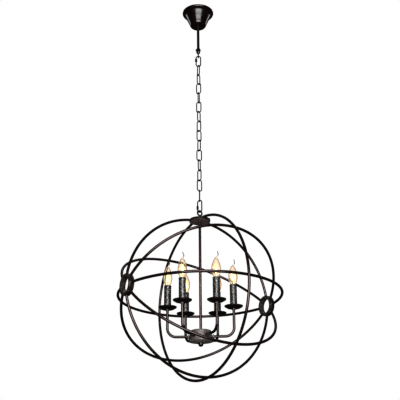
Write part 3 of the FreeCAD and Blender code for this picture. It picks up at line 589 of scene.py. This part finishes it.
@dataclass(frozen=True)
class GlowingRod:
    """Lit light rod: warm yellow whose glow drifts a little."""

    name: str = "glowing_rod"
    strength: float = 1.6
    glow: tuple[Colour, Colour] = ((1.0, 0.60, 0.22), (1.0, 0.74, 0.36))
    skin: tuple[Colour, Colour] = ((0.95, 0.70, 0.25), (0.98, 0.80, 0.40))

    def build(self, effects: Effects) -> bpy.types.Material:
        """Build the material.

        Args:
            effects: the shared effect groups.

        Returns:
            The material.
        """
        coat = Coat(self.name)
        drift = coat.effect(effects.mottle, Scale=260.0, Contrast=0.3)
        coat.feed("Emission Color", coat.graph.blend(drift, *self.glow))
        coat.feed("Base Color", coat.graph.blend(drift, *self.skin))
        coat.set(Roughness=0.5, Emission_Strength=self.strength)
        return coat.material


@dataclass(frozen=True)
class Plastic:
    """Moulded plastic with a fine grain."""

    name: str
    dark: Colour
    light: Colour
    rough: tuple[float, float] = (0.4, 0.55)
    relief: float = 0.03 * MM

    def build(self, effects: Effects) -> bpy.types.Material:
        """Build the material.

        Args:
            effects: the shared effect groups.

        Returns:
            The material.
        """
        coat = Coat(self.name)
        graph = coat.graph
        drift = coat.effect(effects.mottle, Scale=120.0, Contrast=0.2)
        coat.feed("Base Color", graph.blend(drift, self.dark, self.light))
        coat.feed("Roughness", graph.span(drift, UNIT, self.rough))
        coat.bump(coat.effect(effects.relief, Scale=1500.0, Waves=0.3), self.relief)
        return coat.material


@dataclass(frozen=True)
class Plating:
    """Plated or bare metal: drawn streaks, small stains and a soft shine."""

    name: str
    dark: Colour
    light: Colour
    rough: tuple[float, float]
    relief: float = 0.02 * MM

    def build(self, effects: Effects) -> bpy.types.Material:
        """Build the material.

        Args:
            effects: the shared effect groups.

        Returns:
            The material.
        """
        coat = Coat(self.name)
        graph = coat.graph
        drift = coat.effect(effects.mottle, Scale=200.0, Contrast=0.15)
        drawn = coat.effect(effects.speckle, Scale=1400.0, Cover=0.5, Stretch=0.15)
        coat.feed("Base Color", graph.blend(drift, self.dark, self.light))
        both = graph.math("MULTIPLY", graph.math("ADD", drift, drawn), 0.5)
        coat.feed("Roughness", graph.span(both, UNIT, self.rough))
        coat.bump(drawn, self.relief)
        coat.set(Metallic=1.0)
        return coat.material


FINISHES = {
    "gloss_black": Lacquer("gloss_black", dark=(0.006, 0.002, 0.002), light=(0.012, 0.005, 0.004),
                           metallic=0.0, rough=(0.20, 0.28), coat=0.3, relief=0.006 * MM,
                           coat_rough=0.18, dust=0.02, wear=0.05),
    "chain_black": Lacquer("chain_black", dark=(0.0015, 0.0014, 0.0014),
                           light=(0.004, 0.0035, 0.0035), metallic=0.0, rough=(0.22, 0.32),
                           coat=0.05, relief=0.01 * MM, shine=0.2, dust=0.03, wear=0.05),
    "bronze_tube": Lacquer("bronze_tube", dark=(0.007, 0.004, 0.004), light=(0.014, 0.008, 0.007),
                           metallic=0.1, rough=(0.18, 0.26), coat=0.15, relief=0.008 * MM,
                           shine=0.7, tint=(1.0, 0.80, 0.77), dust=0.05, wear=0.06),
    # the lower hub's faces that look down are painted much lighter, as painted light from below
    "bronze_hub": Lacquer("bronze_hub", dark=(0.15, 0.135, 0.13), light=(0.24, 0.22, 0.215),
                          metallic=0.25, rough=(0.34, 0.44), coat=0.1, relief=0.03 * MM,
                          painted_underlight=(0.80, 0.70, 0.67), dust=0.05, wear=0.1),
    # the top hub is black, with painted brown light from below on its underside
    "top_hub": Lacquer("top_hub", dark=(0.006, 0.004, 0.004), light=(0.014, 0.010, 0.010),
                       metallic=0.1, rough=(0.30, 0.40), coat=0.1, relief=0.02 * MM, shine=0.3,
                       painted_underlight=(0.46, 0.34, 0.34), dust=0.02, wear=0.05),
    "side_ring": Lacquer("side_ring", dark=(0.010, 0.007, 0.006), light=(0.022, 0.015, 0.014),
                         metallic=0.2, rough=(0.26, 0.36), coat=0.1, relief=0.02 * MM,
                         tint=(1.0, 0.82, 0.79), dust=0.04, wear=0.5),
    "zinc_steel": Plating("zinc_steel", (0.42, 0.42, 0.43), (0.60, 0.60, 0.61), (0.28, 0.42)),
    "cap_metal": Plating("cap_metal", (0.60, 0.50, 0.30), (0.75, 0.66, 0.44), (0.22, 0.34)),
    "lead_insulation": Plastic("lead_insulation", (0.28, 0.23, 0.19), (0.34, 0.29, 0.24)),
    "connector_plastic": Plastic("connector_plastic", (0.72, 0.70, 0.66), (0.80, 0.78, 0.74)),
    "holder_plastic": Plastic("holder_plastic", (0.020, 0.020, 0.020), (0.032, 0.031, 0.030)),
    "rubbed_sleeve": RubbedSleeve(),
    "clear_glass": BlownGlass(),
    "filament_yellow": GlowingRod(),
}
STALK_GLASS = Plastic("stalk_glass", (0.70, 0.68, 0.62), (0.80, 0.78, 0.72), (0.1, 0.2))


class Wardrobe:
    """Builds each finish once and puts it on pieces."""

    def __init__(self) -> None:
        """Build the effects and every finish."""
        effects = Effects()
        self.materials = {slot: finish.build(effects) for slot, finish in FINISHES.items()}
        self.stalk = STALK_GLASS.build(effects)

    def dress(self, piece: bpy.types.Object, slot: str) -> None:
        """Give a piece one of the record's finishes.

        Args:
            piece: the object.
            slot: the finish slot's name.
        """
        self.put(piece, self.materials[slot])

    @staticmethod
    def put(piece: bpy.types.Object, material: bpy.types.Material) -> None:
        """Give every material slot of a piece one material.

        Args:
            piece: the object.
            material: the material.
        """
        if not piece.material_slots:
            piece.data.materials.append(material)
        for slot in piece.material_slots:
            slot.material = material

    def dress_solids(self) -> None:
        """Give every carried-over solid its own finish, or else the one the record names."""
        slots = {row["node"]: row["material_slot"] for row in frame["record"]["subparts"]}
        for name, solid in frame["nodes"].items():
            self.dress(solid, OWN_FINISHES.get(name, slots[name]))


# ----------------------------------------------------------------- mesh making


class Rings:
    """A mesh made of rings of corners, each joined to the next."""

    def __init__(self, corners: int) -> None:
        """Start an empty mesh.

        Args:
            corners: how many corners each ring has.
        """
        self.corners = corners
        self.mesh = bmesh.new()
        self.last: list[bmesh.types.BMVert] = []

    def ring(self, points: Iterable[Vector]) -> list[bmesh.types.BMVert]:
        """Add a ring and join it to the one before.

        Args:
            points: its corners.

        Returns:
            The ring's corners in the mesh.
        """
        made = [self.mesh.verts.new(point) for point in points]
        if self.last:
            self._join(self.last, made)
        self.last = made
        return made

    def circle(self, centre: Vector, radius: float,
               ripple: Sequence[float] | None = None) -> list[bmesh.types.BMVert]:
        """Add a level round ring.

        Args:
            centre: its middle.
            radius: its radius.
            ripple: how far each corner stands out, or None.

        Returns:
            The ring's corners in the mesh.
        """
        points = []
        for i in range(self.corners):
            turn = math.tau * i / self.corners
            reach = radius + (ripple[i] if ripple else 0.0)
            points.append(centre + Vector((math.cos(turn), math.sin(turn), 0.0)) * reach)
        return self.ring(points)

    def _join(self, first: list[bmesh.types.BMVert], second: list[bmesh.types.BMVert]) -> None:
        """Fill the band between two rings."""
        for i in range(self.corners):
            j = (i + 1) % self.corners
            self.mesh.faces.new((first[i], first[j], second[j], second[i]))

    def close(self, ring: list[bmesh.types.BMVert]) -> None:
        """Fill a ring with one face."""
        self.mesh.faces.new(ring)

    def join_ends(self, first: list[bmesh.types.BMVert]) -> None:
        """Join the last ring back to the first."""
        self._join(self.last, first)

    def finish(self, name: str) -> bpy.types.Object:
        """Turn the mesh into a smooth object.

        Args:
            name: the object's name.

        Returns:
            The object, at the frame's origin.
        """
        bmesh.ops.recalc_face_normals(self.mesh, faces=self.mesh.faces)
        data = bpy.data.meshes.new(name)
        self.mesh.to_mesh(data)
        self.mesh.free()
        data.polygons.foreach_set("use_smooth", [True] * len(data.polygons))
        made = bpy.data.objects.new(name, data)
        bpy.context.scene.collection.objects.link(made)
        return made


@dataclass(frozen=True)
class Candle:
    """One candle: its number, from 1, and where its axis stands."""

    number: int
    x: float
    y: float

    def at(self, height: float) -> Vector:
        """Find the point of its axis at a height."""
        return Vector((self.x, self.y, height))


def candles() -> list[Candle]:
    """Work out where the candles stand.

    Returns:
        The candles, in the order of their angles.
    """
    turns = [math.radians(CANDLE_YAW + 360.0 / CANDLE_COUNT * i) for i in range(CANDLE_COUNT)]
    return [Candle(number, CANDLE_CIRCLE * math.cos(turn), CANDLE_CIRCLE * math.sin(turn))
            for number, turn in enumerate(turns, start=1)]


def curve_through(points: Profile, steps: int) -> list[tuple[float, float]]:
    """Run a smooth Catmull-Rom curve through the points of an outline.

    Args:
        points: the outline's points.
        steps: how many steps to take between each two.

    Returns:
        The finer outline.
    """
    padded = [points[0], *points, points[-1]]
    fine = []
    for a, b, c, d in zip(padded, padded[1:], padded[2:], padded[3:]):
        for k in range(steps):
            t = k / steps
            fine.append(tuple(
                0.5 * (2 * b[n] + (c[n] - a[n]) * t
                       + (2 * a[n] - 5 * b[n] + 4 * c[n] - d[n]) * t ** 2
                       + (3 * b[n] - a[n] - 3 * c[n] + d[n]) * t ** 3) for n in range(2)))
    fine.append(tuple(points[-1]))
    return fine


# ----------------------------------------------------------------------- bulbs


@dataclass
class FlameBulbs:
    """Six clear flame bulbs with drawn, curled tails, and the lit rods in them."""

    radius: float = 17.5 * MM
    neck: float = 6.3 * MM
    neck_height: float = 7.5 * MM
    wall: float = 0.8 * MM
    corners: int = 40
    steps: int = 5  # between two points of the outline
    # the point that closes the hollow: its radius and how far it stands above the last ring
    inner_tip: float = 0.15 * MM
    inner_rise: float = 0.4 * MM
    # the body's outline, as a share of its widest radius and in millimetres above its foot
    body: Profile = ((0.60, 12.5), (0.84, 22.0), (0.97, 32.6), (1.00, 40.3), (0.95, 50.9),
                     (0.80, 62.4), (0.57, 73.4), (0.36, 80.6), (0.22, 84.0))
    # the tail's line: how far it leans, how high it is and how thick, in millimetres
    tail: Sequence[tuple[float, float, float]] = (
        (0.4, 85.0, 3.3), (1.8, 87.0, 2.5), (3.6, 89.6, 2.0), (4.9, 92.6, 1.75),
        (5.4, 96.0, 1.6), (4.9, 99.6, 1.5), (3.1, 103.0, 1.5), (1.4, 106.6, 1.4),
        (0.6, 109.6, 1.1))
    # how much further each bulb's tail leans at its tip, in millimetres
    leans: Sequence[float] = (5.0, 1.0, 3.0, 3.0, 0.0, 6.0)
    rod_count: int = 4
    rod_yaw: float = 45.0
    rod_circle: float = 3.6 * MM
    rod_splay: float = 0.25  # how much wider the rods' circle is at their middles
    rod_radius: float = 0.95 * MM
    rod_rise: float = 41.5 * MM
    rod_sink: float = 1.0 * MM
    rod_length: float = 39.0 * MM
    rod_corners: int = 14
    # a rod's outline, as shares of its length and of its radius
    rod_shape: Profile = ((0.0, 0.35), (0.02, 0.85), (0.05, 1.0), (0.35, 1.0), (0.65, 1.0),
                          (0.95, 1.0), (0.98, 0.85), (1.0, 0.35))
    stalk_corners: int = 24
    # the stalk's radius and height in millimetres: above its foot, above the rods' lower ends and
    # above their upper ends
    stalk_stem: Profile = ((5.0, 0.0), (4.6, 4.0), (3.2, 14.0), (2.2, 24.0))
    stalk_plate: Profile = ((2.0, -3.5), (2.6, -1.6), (5.1, -0.9), (5.2, -0.2), (5.0, 0.3),
                            (1.0, 0.6), (0.5, 3.0))
    stalk_cap: Profile = ((0.5, -3.0), (1.0, -0.6), (4.8, -0.4), (5.0, 0.0), (4.8, 0.4), (1.0, 0.8))
    sink: float = 6.0 * MM  # how deep the glass stands in its cap
    foot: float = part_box("bulb_caps")[1].z - sink
    stalk_foot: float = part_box("bulb_filaments")[0].z

    @property
    def rod_foot(self) -> float:
        """Height of the light rods' lower ends."""
        return self.stalk_foot + self.rod_rise - self.rod_sink

    def outline(self) -> list[tuple[float, float]]:
        """Work out the glass's outer outline.

        Returns:
            Radius and height of each step, from the neck up.
        """
        points = [(self.neck, 0.0), (self.neck, self.neck_height)]
        points += [(self.radius * wide, high * MM) for wide, high in self.body]
        return curve_through(points, self.steps)

    def build_glass(self, candle: Candle) -> bpy.types.Object:
        """Blow one bulb's glass, a closed wall with a solid tail.

        Args:
            candle: the candle that it stands on.

        Returns:
            The glass.
        """
        rings = Rings(self.corners)
        axis = candle.at(self.foot)
        outline = self.outline()
        inner = [(r - self.wall, z) for r, z in outline]
        inner_top = inner[-1][1] + self.inner_rise
        rings.close(rings.circle(axis + Vector((0, 0, inner_top)), self.inner_tip))
        for radius, height in reversed(inner):
            rings.circle(axis + Vector((0, 0, height)), radius)
        for radius, height in outline:
            rings.circle(axis + Vector((0, 0, height)), radius)
        low, tip = self.tail[0][1], self.tail[-1][1]
        for lean, high, thick in self.tail:
            further = self.leans[candle.number - 1] * (high - low) / (tip - low)
            centre = axis + Vector((lean + further, 0.0, high)) * MM
            rings.circle(centre, thick * MM)
        rings.close(rings.last)
        glass = rings.finish(f"bulb_glass_{candle.number}")
        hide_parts("bulb_glasses")
        return glass

    def build_rods(self, candle: Candle) -> bpy.types.Object:
        """Build the lit rods of one bulb, round-ended and slightly splayed.

        Args:
            candle: the candle that they stand on.

        Returns:
            The rods.
        """
        rings = Rings(self.rod_corners)
        for k in range(self.rod_count):
            turn = math.radians(self.rod_yaw + 360.0 / self.rod_count * k)
            side = Vector((math.cos(turn), math.sin(turn), 0.0))
            rings.last = []
            first = None
            for share, wide in self.rod_shape:
                splay = self.rod_circle * (1.0 + self.rod_splay * math.sin(math.pi * share))
                centre = candle.at(self.rod_foot + self.rod_length * share) + side * splay
                ring = rings.circle(centre, self.rod_radius * wide)
                first = first or ring
            rings.close(first)
            rings.close(rings.last)
        rods = rings.finish(f"light_rods_{candle.number}")
        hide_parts("bulb_filaments")
        return rods

    def build_stalk(self, candle: Candle) -> bpy.types.Object:
        """Build the foot that carries the rods: a flared stalk and two small plates.

        Args:
            candle: the candle that it stands on.

        Returns:
            The stalk.
        """
        parts = ((self.stalk_foot, self.stalk_stem), (self.rod_foot, self.stalk_plate),
                 (self.rod_foot + self.rod_length, self.stalk_cap))
        rings = Rings(self.stalk_corners)
        made = [rings.circle(candle.at(level + high * MM), radius * MM)
                for level, shape in parts for radius, high in shape]
        rings.close(made[0])
        rings.close(made[-1])
        stalk = rings.finish(f"rod_stalk_{candle.number}")
        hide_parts("bulb_filaments")
        return stalk

    def build(self, wardrobe: Wardrobe) -> None:
        """Build and dress all six bulbs.

        Args:
            wardrobe: the finishes.
        """
        for candle in candles():
            glass = self.build_glass(candle)
            rods = self.build_rods(candle)
            stalk = self.build_stalk(candle)
            wardrobe.dress(glass, Slot.GLASS.value)
            wardrobe.dress(rods, Slot.FILAMENT.value)
            wardrobe.put(stalk, wardrobe.stalk)
            for piece, slot in ((glass, Slot.GLASS), (rods, Slot.FILAMENT),
                                (stalk, Slot.FILAMENT)):
                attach(piece, Body.GLOBE.value)
                LOG.info("%s: %d faces", piece.name, len(piece.data.polygons))


# --------------------------------------------------------------- candle sleeves


@dataclass
class CandleSleeves:
    """Six candle sleeves with a rolled rim and an uneven, hand-rubbed skin."""

    foot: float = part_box("candle_sleeves")[0].z
    length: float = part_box("candle_sleeves")[1].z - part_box("candle_sleeves")[0].z
    radius: float = 13.5 * MM
    wall: float = 1.25 * MM
    corners: int = 72
    levels: int = 46
    ripple: float = 0.16 * MM
    sunk: float = 0.4  # the share of the ripple that lies below the plain skin
    noise_round: float = 2.2  # how far the noise runs around the sleeve
    noise_along: float = 0.09  # and along each millimetre of it
    noise_apart: float = 7.0  # so that no two sleeves are alike
    # the rolled rim: how far it stands out and how far it is below the top, in millimetres
    rim: Profile = ((-0.05, 3.0), (0.35, 2.6), (0.62, 2.0), (0.70, 1.4), (0.60, 0.7), (0.25, 0.2),
                    (-0.25, 0.0), (-0.8, 0.15), (-1.15, 0.6))
    skin_end: float = 3.2 * MM  # below the top
    bore_end: float = 2.0 * MM  # below the top

    def skin(self, number: int, level: float) -> list[float]:
        """Work out how far the skin stands out around one level.

        Args:
            number: the sleeve's number, from 1.
            level: the height of the level above the sleeve's foot.

        Returns:
            The offset at each corner.
        """
        offsets = []
        for i in range(self.corners):
            turn = math.tau * i / self.corners
            place = Vector((math.cos(turn) * self.noise_round,
                            math.sin(turn) * self.noise_round + number * self.noise_apart,
                            level / MM * self.noise_along))
            # each of the noise's three layers is twice as fine as the one before
            rough = noise.fractal(place, 1.0, 2.0, 3)
            offsets.append(rough * self.ripple - self.ripple * self.sunk)
        return offsets

    def build_sleeve(self, candle: Candle) -> bpy.types.Object:
        """Build one sleeve.

        Args:
            candle: the candle that it belongs to.

        Returns:
            The sleeve.
        """
        rings = Rings(self.corners)
        bore = self.radius - self.wall
        first = rings.circle(candle.at(self.foot), bore)
        for i in range(self.levels + 1):
            level = (self.length - self.skin_end) * i / self.levels
            rings.circle(candle.at(self.foot + level), self.radius,
                         self.skin(candle.number, level))
        top = self.foot + self.length
        for out, down in self.rim:
            rings.circle(candle.at(top - down * MM), self.radius + out * MM)
        rings.circle(candle.at(top - self.bore_end), bore)
        rings.join_ends(first)
        sleeve = rings.finish(f"candle_sleeve_{candle.number}")
        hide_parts("candle_sleeves")
        return sleeve

    def build(self, wardrobe: Wardrobe) -> None:
        """Build and dress all six sleeves.

        Args:
            wardrobe: the finishes.
        """
        for candle in candles():
            sleeve = self.build_sleeve(candle)
            wardrobe.dress(sleeve, Slot.SLEEVE.value)
            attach(sleeve, Body.GLOBE.value)
            LOG.info("%s: %d faces", sleeve.name, len(sleeve.data.polygons))


# ----------------------------------------------------------------------- studio


@dataclass(frozen=True)
class Softbox:
    """A rectangular soft light that looks at a point of the lamp."""

    name: str
    place: tuple[float, float, float]
    target: tuple[float, float, float]
    width: float
    height: float
    power: float
    spread: float = 180.0

    def build(self) -> None:
        """Set the light up."""
        light = bpy.data.lights.new(self.name, "AREA")
        light.shape = "RECTANGLE"
        light.size, light.size_y = self.width, self.height
        light.energy = self.power
        light.spread = math.radians(self.spread)
        made = bpy.data.objects.new(self.name, light)
        made.location = self.place
        aim = Vector(self.target) - Vector(self.place)
        made.rotation_euler = aim.to_track_quat("-Z", "Y").to_euler()
        made.visible_camera = False
        bpy.context.scene.collection.objects.link(made)


@dataclass
class Studio:
    """Pale floor, white surround, soft lights and the camera."""

    floor_level: float = -2.55
    floor_size: float = 14.0
    floor_colour: Colour = (0.86, 0.86, 0.85)
    floor_rough: float = 0.9
    floor_glow: float = 0.75  # keeps the floor pale from every side
    fill: Colour = (0.04, 0.04, 0.042)  # the surround, as reflections and shaded faces see it
    # the camera, with its angles in degrees and its lens in millimetres
    eye: tuple[float, float, float] = (0.0, -2.7978, -2.0118)
    pitch: float = 21.753
    yaw: float = 0.032
    roll: float = -0.523
    lens: float = 67.5
    sensor: float = 36.0
    contrast: float = 0.72
    lights: Sequence[Softbox] = (
        Softbox("front_box", (0.35, -2.85, -1.32), (0.35, 0.0, -1.32), 2.8, 2.0, 178.0),
        Softbox("left_glint", (-2.4, 1.66, 0.68), (0.0, 0.0, -0.04), 0.8, 1.0, 0.3, 30.0),
        Softbox("right_glint", (2.4, 1.66, 0.68), (0.0, 0.0, -0.04), 0.8, 1.0, 0.3, 30.0),
        Softbox("top_box", (0.3, 0.9, 1.6), (0.0, 0.0, -1.0), 2.2, 2.2, 10.0),
    )

    def build_surround(self) -> None:
        """Make the white surround, darker for the reflections and the fill."""
        world = bpy.data.worlds.new("white_surround")
        world.use_nodes = True
        tree = world.node_tree
        tree.nodes.clear()
        graph = Graph(tree)
        path = graph.node("ShaderNodeLightPath")
        dimmed = graph.math("MAXIMUM", path.outputs["Is Glossy Ray"],
                            path.outputs["Is Diffuse Ray"])
        dimmed = graph.math("SUBTRACT", dimmed, path.outputs["Is Transmission Ray"])
        background = graph.node("ShaderNodeBackground")
        graph.join(graph.blend(dimmed, WHITE, self.fill), background.inputs["Color"])
        output = graph.node("ShaderNodeOutputWorld")
        graph.join(background.outputs[0], output.inputs["Surface"])
        bpy.context.scene.world = world

    def build_floor(self) -> None:
        """Lay the pale floor."""
        half = self.floor_size / 2
        data = bpy.data.meshes.new("pale_floor")
        corners = [(-half, -half), (half, -half), (half, half), (-half, half)]
        data.from_pydata([(x, y, self.floor_level) for x, y in corners], [], [(0, 1, 2, 3)])
        floor = bpy.data.objects.new("pale_floor", data)
        bpy.context.scene.collection.objects.link(floor)
        material = bpy.data.materials.new("pale_floor")
        material.use_nodes = True
        shader = material.node_tree.nodes["Principled BSDF"]
        for name in ("Base Color", "Emission Color"):
            shader.inputs[name].default_value = (*self.floor_colour, 1.0)
        shader.inputs["Roughness"].default_value = self.floor_rough
        shader.inputs["Emission Strength"].default_value = self.floor_glow
        data.materials.append(material)
        floor.visible_glossy = False
        floor.visible_diffuse = False

    def build_camera(self) -> None:
        """Set the camera where the photograph's was."""
        yaw, pitch, roll = (math.radians(a) for a in (self.yaw, self.pitch, self.roll))
        right = Vector((math.cos(yaw), -math.sin(yaw), 0.0))
        ahead = Vector((math.sin(yaw) * math.cos(pitch), math.cos(yaw) * math.cos(pitch),
                        math.sin(pitch)))
        up = right.cross(ahead)
        side = right * math.cos(roll) + up * math.sin(roll)
        head = up * math.cos(roll) - right * math.sin(roll)
        data = bpy.data.cameras.new("camera")
        data.lens = self.lens
        data.sensor_width = self.sensor
        camera = bpy.data.objects.new("camera", data)
        turn = Matrix((side, head, -ahead)).transposed().to_4x4()
        camera.matrix_world = Matrix.Translation(self.eye) @ turn
        bpy.context.scene.collection.objects.link(camera)
        bpy.context.scene.camera = camera

    def build(self) -> None:
        """Set up the whole studio."""
        self.build_surround()
        self.build_floor()
        for light in self.lights:
            light.build()
        self.build_camera()
        bpy.context.scene.view_settings.view_transform = "Standard"
        bpy.context.scene.view_settings.gamma = self.contrast
        LOG.info("studio: %d lights", len(self.lights))


def main() -> None:
    """Dress the solids, build the detailed pieces and set the studio up."""
    logging.basicConfig(level=logging.INFO, format="%(name)s: %(message)s")
    wardrobe = Wardrobe()
    wardrobe.dress_solids()
    FlameBulbs().build(wardrobe)
    CandleSleeves().build(wardrobe)
    Studio().build()


if __name__ == "__main__":
    main()
